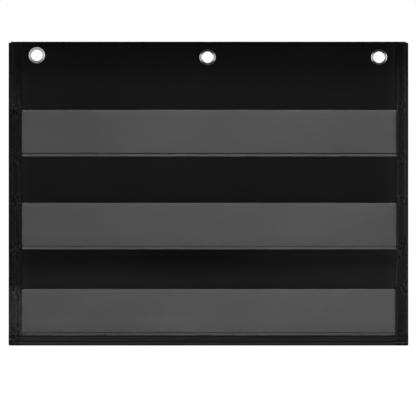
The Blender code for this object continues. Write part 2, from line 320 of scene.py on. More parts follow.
def growPiece(name, points, edges, mark, tree, settings, sharpAngle=None):
    # loose edges, marked on their points, become a plain mesh by way of a tree
    mesh = newMesh(name, points, edges)
    markPoints(mesh, *mark)
    piece = addObject(name, mesh)
    modifier = piece.modifiers.new("tree", "NODES")
    modifier.node_group = tree
    for item in tree.interface.items_tree:
        if item.in_out == "INPUT" and item.name in settings:
            modifier[item.identifier] = settings[item.name]
    keepShape(piece)
    if sharpAngle:
        faceOutwards(piece.data)
    finishMesh(piece.data, settings["Material"], sharpAngle)
    return piece


# the stack of layers, as the solids have it
stack = {
    "cloth": 0.0007,
    "film": 0.0003,
    "tape": 0.0003,
    "seamGap": 0.0003,
    "hemGap": 0.0003,
    "turnGap": 0.00015,  # inside the turned edge of the tape
    "hemDepth": 0.0321,  # top edge to the hem's cut edge
}
tapeLeg = 2 * stack["tape"] + stack["turnGap"]
clothRear = -stack["hemGap"] / 2
clothFront = clothRear - stack["cloth"]
hemFront = stack["hemGap"] / 2
hemRear = hemFront + stack["cloth"]
filmFront = clothFront - stack["seamGap"] - stack["film"]
tapeOnCloth = clothFront - stack["seamGap"] - tapeLeg
tapeOnFilm = filmFront - stack["seamGap"] - tapeLeg
tapeBehindCloth = clothRear + stack["seamGap"] + tapeLeg
tapeBehindHem = hemRear + stack["seamGap"] + tapeLeg
lapFront = tapeOnFilm - stack["seamGap"] - tapeLeg
lapRear = tapeBehindCloth + stack["seamGap"] + tapeLeg

# edges read from the frame
clothLow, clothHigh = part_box("backing_panel")
filmNodes = ("pocket_film_top", "pocket_film_middle", "pocket_film_bottom")
filmBoxes = {node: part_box(node) for node in filmNodes}
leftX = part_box("side_binding_left")[0].x
rightInnerX, rightX = (corner.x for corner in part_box("side_binding_right"))
bottomZ, lapEdge = (corner.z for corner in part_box("bottom_binding"))
topZ = clothHigh.z
hemEdge = topZ - stack["hemDepth"]
mouths = [filmBoxes[node][1].z for node in filmNodes]
feet = [filmBoxes[node][0].z for node in filmNodes[:2]] + [lapEdge]
grommetPlaces = {}
for sideName in ("left", "middle", "right"):
    grommetLow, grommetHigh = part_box("grommet_" + sideName)
    grommetPlaces[sideName] = ((grommetLow.x + grommetHigh.x) / 2, (grommetLow.z + grommetHigh.z) / 2)

# The chart hangs from its grommets, and its free lower part is never quite flat.
hang = {
    "startZ": -0.030,
    "fullZ": -0.210,
    "reach": 0.0009,
    # each wave: its share, its turns across the chart, where it starts and how it leans with height
    "waves": ((0.55, 1.0, 0.5, 0), (0.30, 1.7, 2.2, 9), (0.15, 3.1, -1.0, -14)),
}


def hung(x, y, z):
    free = smooth((hang["startZ"] - z) / (hang["startZ"] - hang["fullZ"]))
    way = math.tau * (x - leftX) / (rightX - leftX)
    wave = 0.0
    for share, turns, start, lean in hang["waves"]:
        wave += share * math.cos(turns * way + start + lean * z)
    return (x, y + hang["reach"] * free * wave, z)


# In each look, blotches have a scale, a detail and a stretch, and a relief has a depth and a strength.

# sewing thread
threadLook = {
    "colour": (0.0075, 0.0075, 0.008),
    "roughness": (0.6, 0.1),  # its middle and its spread
    "fuzz": (700, 2),
    "specular": 0.08,
    "twist": 0.0004,
    "twistTone": (0.7, 1.3),
    "twistRelief": (0.00004, 0.6),
}
thread = {
    "pitch": 0.0034,  # of the stitches in every seam
    "stitchLength": 0.0030,
    "tapeDiameter": 0.00032,
    "pocketDiameter": 0.00044,
    "sink": 0.00022,  # how far a stitch's ends dive into the seam
    "diveShape": 4.0,  # higher keeps more of the stitch straight
    "lift": 0.35,  # share of the diameter from a face to the middle of the thread on it
    "tilt": 3.0,
    "sides": 6,
    "bends": 6,
    "firstSeed": 12,
    "hemRise": 0.0030,  # hem's cut edge to its seam
    "endRoom": 0.0017,  # left free at the ends of a side tape
    "sideRoom": 0.0025,  # at the ends of the bottom tape
    "innerRoom": 0.0010,  # beside the side tapes
}


def threadShader(tree, source):
    look, spot = threadLook, split(tree, source["Object"])
    lengthwise = calc(tree, "ADD", spot["X"], calc(tree, "ADD", spot["Y"], spot["Z"]))
    plies = calc(tree, "SINE", times(tree, lengthwise, math.tau / look["twist"]))
    colour = scaled(tree, look["colour"], mapRange(tree, plies, -1, 1, *look["twistTone"]))
    return fibre(tree, source["Object"], look, colour, relief(tree, plies, *look["twistRelief"]))


def buildStitchTree():
    # Each edge chain becomes a curve, and a short bowed thread is set on it at every pitch.
    sizes = dict.fromkeys(("Pitch", "Length", "Diameter", "Sink", "Tilt"), "Float")
    tree, source = newTree("seamStitches", **sizes, Seed="Int")
    end = made(tree, "ShaderNodeCombineXYZ", {0: times(tree, source["Length"], 0.5)})
    line = made(tree, "GeometryNodeCurvePrimitiveLine", {"Start": scaled(tree, end, -1.0), "End": end})
    bent = made(tree, "GeometryNodeResampleCurve", {"Curve": line, "Count": thread["bends"] + 1})
    share = addNode(tree, "GeometryNodeSplineParameter").outputs["Factor"]
    side = calc(tree, "ABSOLUTE", calc(tree, "MULTIPLY_ADD", share, 2.0, -1.0))
    drop = times(tree, calc(tree, "POWER", side, thread["diveShape"]), times(tree, source["Sink"], -1.0))
    offset = made(tree, "ShaderNodeCombineXYZ", {2: drop})
    bowed = made(tree, "GeometryNodeSetPosition", {"Geometry": bent, "Offset": offset})
    inputs = {"Resolution": thread["sides"], "Radius": times(tree, source["Diameter"], 0.5)}
    section = made(tree, "GeometryNodeCurvePrimitiveCircle", inputs)
    inputs = {"Curve": bowed, "Profile Curve": section, "Fill Caps": True}
    stitch = made(tree, "GeometryNodeCurveToMesh", inputs)
    seams = made(tree, "GeometryNodeMeshToCurve", {"Mesh": source["Geometry"]})
    inputs = {"Curve": seams, "Length": source["Pitch"]}
    spots = made(tree, "GeometryNodeResampleCurve", inputs, mode="LENGTH")
    inputs = {"Vector": made(tree, "GeometryNodeInputTangent")}
    turned = made(tree, "FunctionNodeAlignRotationToVector", inputs, axis="X")
    inputs = {"Name": "outward"}
    outward = made(tree, "GeometryNodeInputNamedAttribute", inputs, data_type="FLOAT_VECTOR")
    inputs = {"Rotation": turned, "Vector": outward}
    facing = made(tree, "FunctionNodeAlignRotationToVector", inputs, axis="Z", pivot_axis="X")
    angle = addNode(tree, "FunctionNodeRandomValue", {"Seed": source["Seed"]}, data_type="FLOAT")
    spread = {"Min": times(tree, source["Tilt"], -1.0), "Max": source["Tilt"]}
    for socket in angle.inputs:
        if socket.enabled and socket.name in spread:
            tree.links.new(spread[socket.name], socket)
    radians = calc(tree, "RADIANS", next(socket for socket in angle.outputs if socket.enabled))
    swing = made(tree, "FunctionNodeAxisAngleToRotation", {"Axis": (0.0, 0.0, 1.0), "Angle": radians})
    inputs = {"Rotation": facing, "Rotate By": swing}
    tilted = made(tree, "FunctionNodeRotateRotation", inputs, rotation_space="LOCAL")
    inputs = {"Points": spots, "Instance": stitch, "Rotation": tilted}
    placed = made(tree, "GeometryNodeInstanceOnPoints", inputs)
    return endTree(tree, made(tree, "GeometryNodeSetShadeSmooth", {"Geometry": placed}), source)


def sewRows(name, rows, diameter, seed, tree, material):
    # rows are (points, outward side) pairs, -1 to the front and 1 to the rear
    points, edges, outward = [], [], []
    for row, side in rows:
        first = len(points)
        points += row
        edges += [(first + index, first + index + 1) for index in range(len(row) - 1)]
        outward += [(0.0, side, 0.0)] * len(row)
    settings = {"Pitch": thread["pitch"], "Length": thread["stitchLength"], "Diameter": diameter}
    settings.update({"Sink": thread["sink"], "Tilt": thread["tilt"], "Seed": seed, "Material": material})
    return settle(growPiece(name, points, edges, ("outward", outward), tree, settings), "binding_tape")


def onFace(y, side, diameter):  # the middle of a thread that lies on a face, part sunk in
    return y + side * diameter * thread["lift"]


def wholePitches(start, end):  # a run of stitch centres, with points for every half pitch
    count = int((end - start) / thread["pitch"])
    return [start + index * thread["pitch"] / 2 for index in range(2 * count + 1)]


def clothSeam(start, end, z, front, rear, diameter):  # the same row on the front and on the back
    places = wholePitches(start + thread["innerRoom"], end - thread["innerRoom"])
    ahead = [hung(x, onFace(front(x), -1, diameter), z) for x in places]
    behind = [hung(x, onFace(rear + clothUneven(x, z), 1, diameter), z) for x in places]
    return [(ahead, -1), (behind, 1)]


# black cloth
clothLook = {
    "colour": (0.0085, 0.0085, 0.0086),
    "roughness": (0.86, 0.08),
    "fuzz": (900, 2),
    "specular": 0.030,
    "yarn": (0.0005, 0.0005),
    "yarnTone": 0.1,
    "yarnRelief": (0.00006, 0.8),
    "slubs": (160, 3, (1, 1, 0.2)),
    "slubRelief": (0.0004, 0.15),
    "patches": (14, 4),
    "patchTone": (0.9, 1.1),
    "rearTone": 1.0,
    # painted shade and light on the front, by height from the lower edge, 0, to the top edge, 1, with the
    # top in painted shade
    "tone": {0.18: 1.30, 0.215: 1.26, 0.25: 0.86, 0.275: 0.56, 0.30: 0.54, 0.40: 0.85, 0.52: 0.94,
             0.62: 0.98, 0.775: 0.98, 0.83: 0.94, 0.87: 0.82, 0.90: 0.66, 0.935: 0.54, 0.975: 0.48,
             0.996: 0.30},
    # painted light across the front, paler beside the tapes, and a second painted light and shade for the
    # band over the bottom pocket
    "paintedSideShading": {0.033: 1.35, 0.043: 1.08, 0.06: 1.0, 0.90: 1.0, 0.945: 1.08, 0.96: 1.28, 0.972: 1.6},
    "paintedBandShading": {0.03: 0.54, 0.06: 0.47, 0.16: 0.45, 0.31: 0.40, 0.40: 0.32, 0.47: 0.31, 0.55: 0.40,
                 0.65: 0.50, 0.77: 0.60, 0.85: 0.60, 0.90: 0.70, 0.945: 0.68},
    "bandScale": 2.5,
    "bandShare": {0.0: 0.0, 0.215: 0.05, 0.25: 0.55, 0.30: 1.0, 0.33: 1.0, 0.36: 0.0},  # by height
}


def clothShader(tree, source):
    look, place = clothLook, source["Object"]
    spot = split(tree, place)
    sideways, upward = shareAcross(tree, spot), shareUp(tree, spot)
    # painted light and shade of the band over the bottom pocket
    paintedBand = times(tree, ramp(tree, sideways, look["paintedBandShading"]), look["bandScale"])
    paintedBand = mix(tree, ramp(tree, upward, look["bandShare"]), 1.0, paintedBand)
    # the front's painted shade and light: by height, across, and in the band over the bottom pocket
    tone = times(tree, ramp(tree, upward, look["tone"]), ramp(tree, sideways, look["paintedSideShading"]), paintedBand)
    # the rear keeps a plain tone, without the painted shade and light
    tone = mix(tree, marked(tree, "rear"), tone, look["rearTone"])
    patch = patchy(tree, blotches(tree, place, *look["patches"]), *look["patchTone"])
    slubs = relief(tree, blotches(tree, place, *look["slubs"]), *look["slubRelief"])
    flat = split(tree, source["UV"])
    return woven(tree, place, flat, look, look["colour"], times(tree, tone, patch), slubs)


cloth = {
    "station": 0.0042,
    "foldSteps": 12,
    "unevenness": 0.00012,
    "unevenScale": (17, 21),
    "unevenSeed": 3.7,
    "holeRadius": 0.0069,
    "holeSegments": 72,
    "cutterReach": 0.0035,
}


def clothUneven(x, z):
    across, up = cloth["unevenScale"]
    return cloth["unevenness"] * noise.noise(Vector((x * across, z * up, cloth["unevenSeed"])))


def cutHoles(piece):
    radius, reach = cloth["holeRadius"], cloth["cutterReach"]
    turns = np.linspace(0, math.tau, cloth["holeSegments"], endpoint=False)
    ring = [(radius * math.cos(turn), radius * math.sin(turn)) for turn in turns]
    cutters = []
    for x, z in grommetPlaces.values():
        rings = [[(x + across, y, z + up) for across, up in ring] for y in (-reach, reach)]
        mesh = skinMesh("holeCutter", rings, (0, 0), [0.0] * (len(ring) + 1))
        cutters.append(addPiece("holeCutter", mesh, piece.data.materials[0]))
        cut = piece.modifiers.new("hole", "BOOLEAN")
        cut.operation = "DIFFERENCE"
        cut.object = cutters[-1]
    keepShape(piece)
    for cutter in cutters:
        bpy.data.objects.remove(cutter)


def buildCloth(material):
    middle = (clothFront + clothRear) / 2
    radius = (stack["cloth"] + stack["hemGap"]) / 2
    foldZ = topZ - radius - stack["cloth"] / 2
    path = [Vector((middle, z)) for z in spaced(clothLow.z, foldZ, cloth["station"])[:-1]]
    path += arc((0, foldZ), (radius, radius), 180, 0, cloth["foldSteps"])
    path += [Vector((-middle, z)) for z in spaced(foldZ, hemEdge, cloth["station"])[1:]]
    outline = stripOutline(path, stack["cloth"])
    columns = spaced(clothLow.x, clothHigh.x, cloth["station"])
    rings = []
    for x in columns:
        rings.append([hung(x, point.x + clothUneven(x, point.y), point.y) for point in outline])
    piece = addPiece("chartCloth", skinMesh("chartCloth", rings, columns, outlineLengths(path)), material)
    cutHoles(piece)
    markPoints(piece.data, "rear", [vertex.normal.y > 0 for vertex in piece.data.vertices])
    settle(piece, "backing_cloth", "backing_panel")
    return piece, (clothHigh.x - clothLow.x, lengthsAlong(path)[-1])


def hemSeams():
    low, high = leftX + sideTape["width"], rightX - sideTape["rightUpperWidth"]
    z, diameter = hemEdge + thread["hemRise"], thread["tapeDiameter"]
    return clothSeam(low, high, z, lambda x: clothFront + clothUneven(x, z), hemRear, diameter)


# clear film
filmLook = {
    "haze": (0.80, 0.80, 0.82),
    "transmission": 0.9498,
    "roughness": (0.09, 0.19),
    "ior": 1.46,
    "clouds": (9, 2, (1, 1, 1.6)),
    "cloudTone": (0.95, 1.04),
    "scuffs": (40, 2, (0.35, 1, 1.6)),
    "ripples": (26, 1, (0.25, 1, 1.5)),
    "rippleRelief": (0.0010, 0.08),
    # painted light and shade from the cut lower edge to the lip: painted light on the margin, painted
    # shade at the pressed seam, the pocket, and a painted highlight along the lip
    "paintedUpShading": {0.0: 1.07, 0.046: 1.05, 0.078: 0.97, 0.13: 0.97, 0.30: 1.0, 0.85: 1.02, 0.962: 1.04,
               0.977: 1.17, 0.995: 1.20},
    # painted light across the film, darker at the left and lighter towards the right
    "paintedSideShading": {0.04: 0.94, 0.20: 0.94, 0.35: 1.01, 0.50: 1.03, 0.75: 1.05, 0.95: 1.0},
    # painted shade along the pressed seam and painted light and shade on the margin under it, by height
    # on the chart
    "paintedSeamShade": {0.0: 0.60, 0.25: 0.68, 0.45: 0.64, 0.70: 0.08},
    "seamReach": (0.00035, 0.00080),
    "paintedMarginShading": {0.0: 0.84, 0.30: 0.97, 0.45: 0.97, 0.60: 1.04},
    "marginReach": (0.040, 0.066),
}


def filmShader(tree, source):
    look, place = filmLook, source["Object"]
    spot, flat = split(tree, place), split(tree, source["UV"])
    upward = mapRange(tree, flat["Y"], -film["seamRise"], film["pocketDepth"])
    height = shareUp(tree, spot)
    # painted light and shade on the margin under the seam
    marginShading = mapRange(tree, upward, *look["marginReach"], ramp(tree, height, look["paintedMarginShading"]), 1.0)
    fromSeam = calc(tree, "ABSOLUTE", flat["Y"])
    # painted shade along the pressed seam
    pressed = eased(tree, fromSeam, *look["seamReach"], ramp(tree, height, look["paintedSeamShade"]), 1.0)
    # painted light and shade up the film and across it, with a painted highlight along the lip
    paintedShadings = ramp(tree, upward, look["paintedUpShading"]), ramp(tree, shareAcross(tree, spot), look["paintedSideShading"])
    clouds = patchy(tree, blotches(tree, place, *look["clouds"]), *look["cloudTone"])
    scuffs = blotches(tree, place, *look["scuffs"])
    return {
        "Base Color": scaled(tree, look["haze"], times(tree, clouds, *paintedShadings, pressed, marginShading)),
        "Roughness": mapRange(tree, scuffs, 0.3, 0.75, *look["roughness"]),
        "Transmission Weight": look["transmission"],
        "IOR": look["ior"],
        "Normal": relief(tree, blotches(tree, place, *look["ripples"]), *look["rippleRelief"]),
    }


film = {
    "belly": 0.0070,  # how far the middle of the mouth stands off the cloth
    "flatEnd": 0.0020,
    "bendShare": 0.12,
    "seamRise": 0.0031,  # cut lower edge to the seam
    "pocketDepth": 0.0469,  # seam to lip
    "lipDrop": 0.0003,  # the cut lip ends this far below the solid's top edge
    "tuck": 0.0020,  # the bottom film runs this far under the bottom tape
    "column": 0.0017,
    "row": 0.0026,
    "fineRow": 0.0010,  # near the seam and the lip
    "seamBand": 0.005,
    "lipBand": 0.002,
    "pucker": 0.00007,
    "puckerReach": 0.0030,
    "lipRipple": 0.00045,
    "ripples": (76, 190),  # radians in a metre
    "secondRipple": 0.35,
    "phases": (0.4, 2.3, 4.1),  # where each pocket's ripples start
}


def filmStandOff(along, up):
    if abs(along) >= 1 or up <= 0:
        return 0.0
    across = (1 - along ** 4) ** 2
    bend = film["bendShare"]
    lift = (math.hypot(up, bend) - bend) / (math.hypot(1, bend) - bend)
    return film["belly"] * across * lift


def filmFace(x, z, edges):  # how far the film's front face stands forward of its flat place
    low, high, seam, mouth, phase = edges
    along = (2 * x - low - high) / (high - low)
    up = (z - seam) / (mouth - seam)
    off = filmStandOff(along, up)
    if abs(along) < 1:
        free = (1 - along ** 4) * max(up, 0) ** 1.5
        wide, narrow = film["ripples"]
        ripple = math.sin(x * wide + phase) + film["secondRipple"] * math.sin(x * narrow + 2 * phase)
        off += film["lipRipple"] * free * (1 + ripple) / 2
        tight = bump(z - seam, film["puckerReach"])
        off += film["pucker"] * tight * (1 - math.cos(math.tau * (x - low) / thread["pitch"]))
    return off


def filmEdges(node, phase):
    low, high = filmBoxes[node]
    right = tapeWidth("right", (low.z + high.z) / 2)
    tuck = film["tuck"] if node == filmNodes[-1] else 0.0
    freeLow = leftX + sideTape["width"] + film["flatEnd"]
    freeHigh = rightX - right - film["flatEnd"]
    return freeLow, freeHigh, low.z + tuck + film["seamRise"], high.z - film["lipDrop"], phase


def buildFilm(name, node, edges, material):
    low, high = filmBoxes[node]
    seam, mouth = edges[2], edges[3]
    bandTop, bandFoot = seam + film["seamBand"], mouth - film["lipBand"]
    rows = spaced(low.z, bandTop, film["fineRow"]) + spaced(bandTop, bandFoot, film["row"])[1:]
    rows += spaced(bandFoot, mouth, film["fineRow"])[1:]
    columns = [low.x] + spaced(edges[0], edges[1], film["column"]) + [high.x]
    rings = []
    for x in columns:
        front = [(x, filmFront - filmFace(x, z, edges), z) for z in rows]
        rear = [(x, y + stack["film"], z) for x, y, z in front[::-1]]
        rings.append([hung(*point) for point in front + rear])
    heights = [z - seam for z in rows]
    mesh = skinMesh(name, rings, columns, heights + heights[::-1] + heights[:1])
    piece = settle(addPiece(name, mesh, material), "pocket_film", node)
    slant = lengthsAlong([Vector((filmStandOff(0, (z - seam) / (mouth - seam)), z)) for z in rows])[-1]
    return piece, (high.x - low.x, slant)


def pocketSeams(edges):
    low, high, z = edges[0] - film["flatEnd"], edges[1] + film["flatEnd"], edges[2]
    diameter = thread["pocketDiameter"]
    return clothSeam(low, high, z, lambda x: filmFront - filmFace(x, z, edges), clothRear, diameter)


# folded black tape
tapeFinish = {
    "roughness": (0.72, 0.1),
    "fuzz": (400, 2),
    "specular": 0.035,
    "yarn": (0.00045, 0.00030),
    "yarnTone": 0.12,
    "yarnRelief": (0.00006, 0.8),
    "streaks": (1.0, 3, (22, 620, 1)),
    "wrinkleRelief": (0.0004, 0.6),
    "puckerReach": (0.003, 0.015),  # from a pocket's mouth or foot, or from a corner
    "fade": 0.012,  # how softly a line starts and ends
    "rearTurn": 0.0006,
    "rearPucker": 0.3,
    "colourTurn": (0.10, 0.20),  # where along the tape its first colour gives way to the second
}
# each side has its own copy of the tape look, with its own painted light and shade
tapeLooks = {
    # Painted light and shade run up the side tapes, and from left to right along the bottom tape.
    # Each painted line: inward from the fold, level, reach, and the share of the tape where it starts and
    # ends; over 1 it is a painted highlight on a ridge, under 1 painted shade along a stitch groove and
    # round the fold.
    "left": {
        "colours": ((0.0080, 0.0080, 0.0085), (0.0080, 0.0080, 0.0080)),
        "tone": {0.0: 2.1, 0.05: 2.35, 0.09: 2.95, 0.165: 3.0, 0.195: 1.2, 0.26: 1.10, 0.79: 1.10,
                 0.83: 0.90, 0.87: 0.78, 0.93: 0.66, 1.0: 0.60},
        "paintedLines": [(0.0019, 0.55, 0.0009, 0.19, 0.79), (0.0029, 2.40, 0.0010, 0.79, 2.0),
                  (0.0040, 0.75, 0.0007, 0.79, 2.0), (0.0050, 1.80, 0.0009, 0.79, 2.0),
                  (0.0108, 0.72, 0.0034, 0.92, 2.0), (0.0030, 1.20, 0.0010, 0.19, 0.79),
                  (0.0048, 0.85, 0.0010, 0.19, 0.79), (0.0105, 1.55, 0.0026, 0.80, 0.85),
                  (0.0114, 1.40, 0.0014, 0.36, 0.58), (0.0126, 0.55, 0.0008, 0.19, 0.36),
                  (0.0080, 0.80, 0.0010, 0.19, 0.60), (0.0101, 0.60, 0.0011, -1.0, 0.16),
                  (0.0121, 1.85, 0.0014, -1.0, 0.18), (0.0141, 0.70, 0.0007, -1.0, 0.18),
                  (0.0040, 0.85, 0.0008, -1.0, 0.19), (-0.0009, 0.22, 0.0026, -1.0, 0.86)],
        "rearTone": 1.15,
        "streak": 0.30,
        "paintedPuckerShading": (130.0, 0.28),  # how strong the painted pale and dark puckers are, and their least share: painted light and shade of wrinkles
        "folds": (1.0, 2, (330, 520, 1)),
        "shift": 1.3,
    },
    "right": {
        "colours": ((0.0108, 0.0108, 0.0108), (0.0108, 0.0108, 0.0108)),
        "tone": {0.0: 0.70, 0.035: 0.98, 0.80: 0.93, 0.83: 0.86, 0.87: 0.70, 0.91: 0.56, 0.945: 0.34,
                 1.0: 0.30},
        "paintedLines": [(0.0112, 1.80, 0.0022, -1.0, 0.92), (0.0030, 1.95, 0.0026, 0.36, 2.0),
                  (0.0012, 1.50, 0.0026, -1.0, 0.36), (0.0126, 0.70, 0.0007, 0.79, 2.0)],
        "rearTone": 0.85,
        "streak": 0.30,
        "paintedPuckerShading": (130.0, 0.28),
        "folds": (1.0, 2, (330, 520, 1)),
        "shift": 4.9,
    },
    "bottom": {
        "colours": ((0.0168, 0.0168, 0.0186), (0.0160, 0.0144, 0.0170)),
        "tone": {0.0: 0.52, 0.018: 0.62, 0.034: 1.05, 0.13: 1.08, 0.30: 1.05, 0.50: 0.97, 0.80: 0.97,
                 0.965: 0.92, 1.0: 0.55},
        "paintedLines": [(0.0041, 0.45, 0.0010, -1.0, 2.0), (0.0098, 0.65, 0.0010, -1.0, 2.0),
                  (0.0020, 1.50, 0.0012, -1.0, 2.0), (-0.0009, 0.12, 0.0028, -1.0, 2.0)],
        "rearTone": 0.55,
        "streak": 0.20,
        "paintedPuckerShading": (900.0, 0.12),
        "folds": (1.0, 2, (420, 520, 1)),
        "shift": 8.2,
    },
}


# a painted line along the tape: a painted highlight where its level is over 1, painted shade where it is
# under 1
def paintedShadingLine(tree, tone, inward, share, line):
    distance, level, reach, start, end = line
    if start > 0 or end < 1:
        past = calc(tree, "SUBTRACT", awayFrom(tree, share, (start + end) / 2), (end - start) / 2)
        level = eased(tree, past, -tapeFinish["fade"], tapeFinish["fade"], level, 1.0)
    return times(tree, tone, eased(tree, awayFrom(tree, inward, distance), 0.0, reach, level, 1.0))


def tapeShader(tree, source, side):
    finish, look = tapeFinish, tapeLooks[side]
    surface = source["UV"]
    spot, flat = split(tree, source["Object"]), split(tree, surface)
    if side == "bottom":
        share, place, levels = shareAcross(tree, spot), spot["X"], (leftX, rightX)
    else:
        share, place, levels = shareUp(tree, spot), spot["Z"], mouths + feet
    inward = calc(tree, "SUBTRACT", calc(tree, "ABSOLUTE", flat["Y"]), foldLead)
    # painted light and shade by the place along the tape, and then its painted lines
    tone = ramp(tree, share, look["tone"])
    for line in look["paintedLines"]:
        tone = paintedShadingLine(tree, tone, inward, share, line)
    rear = mapRange(tree, flat["Y"], -finish["rearTurn"], finish["rearTurn"])  # past the fold's middle
    tone = mix(tree, rear, tone, look["rearTone"])
    streaks = blotches(tree, surface, *finish["streaks"], look["shift"])
    streaks = patchy(tree, streaks, 1 - look["streak"], 1 + look["streak"])
    near, far = finish["puckerReach"]
    away = far
    for level in levels:
        away = calc(tree, "MINIMUM", away, awayFrom(tree, place, level))
    # painted light and shade of the puckers near mouths, feet and corners, on the same noise as their
    # bump
    strength, least = look["paintedPuckerShading"]
    pucker = eased(tree, away, near, far, 1.0, least)
    pucker = times(tree, pucker, mapRange(tree, rear, 0.0, 1.0, 1.0, finish["rearPucker"]))
    folds = blotches(tree, surface, *look["folds"], look["shift"])
    uneven = times(tree, calc(tree, "SUBTRACT", folds, 0.5), pucker)
    level = times(tree, tone, streaks, calc(tree, "POWER", strength, uneven))
    first, last = look["colours"]
    inputs = {"Factor": mapRange(tree, share, *finish["colourTurn"]), 4: first, 5: last}
    colour = addNode(tree, "ShaderNodeMix", inputs, data_type="VECTOR").outputs[1]
    wrinkles = relief(tree, uneven, *finish["wrinkleRelief"])
    return woven(tree, source["Object"], flat, finish, colour, level, wrinkles)


tapeForm = {
    "station": 0.0017,
    "turnedShare": 0.45,
    "turnedSteps": 6,
    "faceSteps": 18,
    "turnSteps": 6,
    "foldSteps": 12,
    "slopeClear": 0.0006,  # from an edge inside to the start of the slope over it
    "slope": 0.0035,
    "groove": 0.00013,  # how deep the stitches pull the tape in
    "grooveReach": 0.00055,
    "grooveBeat": 0.3,
    "swells": ((0.0007, 0.00012), (0.0030, 0.00006)),  # ridges over the turned edge: inset and height
    "swellReach": 0.0006,
    "foldDip": (0.00016, 0.0016, 0.0014),  # the drop where the cloth inside ends, its start and its run
    "calmFold": 0.0022,  # the round of the fold stays even
    "rumple": 0.00005,
    # each rumple: its share, and its scales inward, along the tape and with the tape's width
    "rumples": ((1.0, 260, 130, 900), (0.5, 900, 45, 500)),
}
sideTape = {
    "width": 0.0144,
    "rightUpperWidth": 0.0130,
    "endDrop": 0.0011,
    "seamInset": 0.0019,  # inner edge to the stitches
    "lapPress": 0.00005,
    "mouthRumple": (1.5, 0.004, 0.010),  # the tape is less even beside a mouth: share, rise and reach
    "cornerRumple": (2.0, 0.030),  # and near the lower corner: share and reach
}
bottomTape = {
    "cornerCut": 0.0009,
    "cornerLength": 0.0015,
    "cornerSteps": 4,
    "seams": (0.0043, 0.0096),  # heights of the two stitch rows above the lower edge
    "endRumples": ((3.0, 0.014), (1.8, 0.012)),  # at its left and right end: share and reach
}
# the surface from the fold's middle to a point is this much longer than the way straight in
foldLead = (math.pi / 2 - 1) * (tapeBehindCloth - tapeOnFilm) / 2


def tapeSection(place, width, levels, seams, rumpled):
    # a folded tape at one place along it: rumpled holds the share, place and reach of less even spots
    form = tapeForm
    beat = 1 - form["grooveBeat"] + form["grooveBeat"] * math.cos(math.tau * place / thread["pitch"])
    rumple = form["rumple"]
    for share, spot, reach in rumpled:
        rumple += form["rumple"] * share * bump(place - spot, reach)

    def press(inward):  # how far a face is pressed towards the cloth
        dip, start, run = form["foldDip"]
        pressed = dip * (1 - smooth((inward - start) / run))
        for seam in seams:
            pressed += form["groove"] * beat * bump(inward - seam, form["grooveReach"])
        for inset, height in form["swells"]:
            pressed -= height * bump(inward - width + inset, form["swellReach"])
        for share, inwards, lengthwise, withWidth in form["rumples"]:
            spot = Vector((inward * inwards, place * lengthwise, width * withWidth))
            pressed += share * rumple * noise.noise(spot)
        return pressed * smooth(inward / form["calmFold"])

    return {"width": width, "levels": levels, "seams": seams, "press": press}


def tapePath(section):  # the middle of the folded tape as (inward, y), from one raw edge to the other
    form = tapeForm
    width, (front, rear), press = section["width"], section["levels"], section["press"]
    half = stack["tape"] / 2
    turn = (stack["tape"] + stack["turnGap"]) / 2
    frontMiddle, rearMiddle = front + half, rear - half
    turnAt = width - half - turn
    turnedEnd = width * (1 - form["turnedShare"])
    radius = (rearMiddle - frontMiddle) / 2
    foldAt = half + radius
    middle = (front + rear) / 2
    inner = list(np.linspace(turnedEnd, turnAt, form["turnedSteps"]))[:-1]
    outer = list(np.linspace(turnAt, foldAt, form["faceSteps"]))[1:-1]
    path = [Vector((inward, frontMiddle + 2 * turn)) for inward in inner]
    path += arc((turnAt, frontMiddle + turn), (turn, turn), 90, -90, form["turnSteps"])
    path += [Vector((inward, frontMiddle)) for inward in outer]
    path += arc((foldAt, middle), (radius, radius), -90, -270, form["foldSteps"])
    path += [Vector((inward, rearMiddle)) for inward in outer[::-1]]
    path += arc((turnAt, rearMiddle - turn), (turn, turn), 90, -90, form["turnSteps"])
    path += [Vector((inward, rearMiddle - 2 * turn)) for inward in inner[::-1]]
    for point in path:
        point.y += press(point.x) if point.y < middle else -press(point.x)
    return path


def tapeWidth(side, z):
    if side == "left":
        return sideTape["width"]
    low, slope = rightX - rightInnerX, tapeForm["slope"]
    share = smooth((z - mouths[2] - slope) / (feet[1] - mouths[2] - 2 * slope))
    return low + (sideTape["rightUpperWidth"] - low) * share


def sideLevels(z):  # front and rear faces of a side tape at a height
    slope = tapeForm["slope"]
    run = tapeForm["slopeClear"] + slope
    lift = 0.0
    for mouth, foot in zip(mouths, feet):
        above = smooth((mouth + run - z) / slope)
        below = smooth((z - foot + run) / slope)
        lift = max(lift, min(above, below) if foot > lapEdge else above)
    front = tapeOnCloth + (tapeOnFilm - tapeOnCloth) * lift
    rear = tapeBehindCloth + (tapeBehindHem - tapeBehindCloth) * smooth((z - hemEdge + run) / slope)
    pressed = smooth((lapEdge + run - z) / slope) * sideTape["lapPress"]
    return front + pressed, rear - pressed


def sideShape(side):
    low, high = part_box("side_binding_" + side)
    edge, inwards = (leftX, 1) if side == "left" else (rightX, -1)
    share, rise, reach = sideTape["mouthRumple"]
    rumpled = [(share, mouth + rise, reach) for mouth in mouths]
    share, reach = sideTape["cornerRumple"]
    rumpled.append((share, bottomZ, reach))

    def section(z):
        width = tapeWidth(side, z)
        return tapeSection(z, width, sideLevels(z), (width - sideTape["seamInset"],), rumpled)

    def place(z, inward, y):
        return hung(edge + inwards * inward, y, z)

    return {"stations": spaced(low.z, high.z, tapeForm["station"]), "section": section, "place": place}


